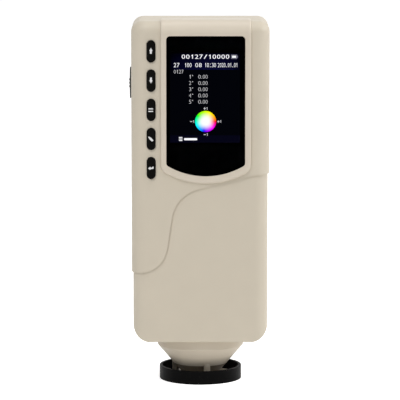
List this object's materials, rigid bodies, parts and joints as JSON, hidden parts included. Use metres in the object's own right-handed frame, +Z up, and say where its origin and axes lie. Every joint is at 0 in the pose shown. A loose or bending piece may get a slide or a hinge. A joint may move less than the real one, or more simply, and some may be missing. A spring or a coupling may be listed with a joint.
{
  "type": "colorimeter",
  "caption": "Handheld colorimeter with a display, keys, a side power slider, a rear trigger and a measuring head on a locating ring.",
  "frame": {"origin": "centre of the locating ring's underside, on the optical axis", "axes": "+Z up the optical axis towards the top of the instrument, -Y the way the display faces, +X the instrument's right as the display is read"},
  "size_m": [0.0735, 0.0558, 0.1929],
  "materials": {
    "shell_plastic": "fine satin",
    "bezel_plastic": "satin",
    "head_plastic": "satin",
    "window_glass": "clear over black",
    "display_glass": "dark",
    "key_rubber": "satin",
    "slider_plastic": "matte",
    "ring_plastic": "satin",
    "pale_plastic": "matte",
    "white_lining": "matte",
    "black_plastic": "matte",
    "silicone": "matte",
    "foam": "matte",
    "board_laminate": "satin",
    "ribbon_film": "satin",
    "steel": "plain",
    "tin_plate": "plain",
    "brass": "plain",
    "battery_wrap": "satin",
    "lens_glass": "clear",
    "lamp_resin": "clear"
  },
  "bodies": {
    "instrument": {"lower_housing": "shell_plastic", "front_cover": "shell_plastic", "rear_cover": "shell_plastic", "rating_plate": "black_plastic", "display_bezel": "bezel_plastic", "display_window": "window_glass", "display_gasket": "foam", "display_panel": "display_glass", "display_backlight": "pale_plastic", "display_ribbon": "ribbon_film", "key_mat": "silicone", "key_switches": "steel", "key_board": "board_laminate", "power_switch": "black_plastic", "switch_board": "board_laminate", "measure_switch": "black_plastic", "trigger_board": "board_laminate", "main_board": "board_laminate", "board_chips": "black_plastic", "shield_can": "tin_plate", "clock_cell": "steel", "buzzer": "black_plastic", "usb_socket": "tin_plate", "dc_socket": "black_plastic", "inner_frame": "black_plastic", "battery_tray": "black_plastic", "battery_pack": "battery_wrap", "battery_contacts": "brass", "measuring_head": "head_plastic", "aperture_tip": "black_plastic", "tip_seal": "foam", "locating_plate": "pale_plastic", "locating_ring": "ring_plastic", "sphere_lower": "white_lining", "sphere_upper": "white_lining", "led_boards": "board_laminate", "lamps": "lamp_resin", "reference_sensor": "black_plastic", "lens_barrel": "black_plastic", "lens": "lens_glass", "spectral_sensor": "black_plastic", "sensor_board": "board_laminate", "sensor_ribbon": "ribbon_film", "cover_screws": "steel", "frame_screws": "steel", "board_screws": "steel", "head_screws": "steel", "sphere_screws": "steel", "plate_screws": "steel"},
    "key_up": {"key_up": "key_rubber"},
    "key_down": {"key_down": "key_rubber"},
    "key_equals": {"key_equals": "key_rubber"},
    "key_edit": {"key_edit": "key_rubber"},
    "key_back": {"key_back": "key_rubber"},
    "power_slider": {"power_slider": "slider_plastic"},
    "measure_button": {"measure_button": "key_rubber"},
    "battery_door": {"battery_door": "shell_plastic"}
  },
  "joints": [
    {"name": "key_up_press", "type": "slide", "parent": "instrument", "child": "key_up", "axis": [0, 1, 0], "range_m": [0, 0.0006], "stiffness_N_per_m": 600, "springref_m": -0.0003},
    {"name": "key_down_press", "type": "slide", "parent": "instrument", "child": "key_down", "axis": [0, 1, 0], "range_m": [0, 0.0006], "stiffness_N_per_m": 600, "springref_m": -0.0003},
    {"name": "key_equals_press", "type": "slide", "parent": "instrument", "child": "key_equals", "axis": [0, 1, 0], "range_m": [0, 0.0006], "stiffness_N_per_m": 600, "springref_m": -0.0003},
    {"name": "key_edit_press", "type": "slide", "parent": "instrument", "child": "key_edit", "axis": [0, 1, 0], "range_m": [0, 0.0006], "stiffness_N_per_m": 600, "springref_m": -0.0003},
    {"name": "key_back_press", "type": "slide", "parent": "instrument", "child": "key_back", "axis": [0, 1, 0], "range_m": [0, 0.0006], "stiffness_N_per_m": 600, "springref_m": -0.0003},
    {"name": "measure_button_press", "type": "slide", "parent": "instrument", "child": "measure_button", "axis": [0, -1, 0], "range_m": [0, 0.001], "stiffness_N_per_m": 800, "springref_m": -0.0004},
    {"name": "power_slide", "type": "slide", "parent": "instrument", "child": "power_slider", "axis": [0, 0, -1], "range_m": [0, 0.004]},
    {"name": "battery_door_slide", "type": "slide", "parent": "instrument", "child": "battery_door", "axis": [0, 0, -1], "range_m": [0, 0.014]}
  ]
}
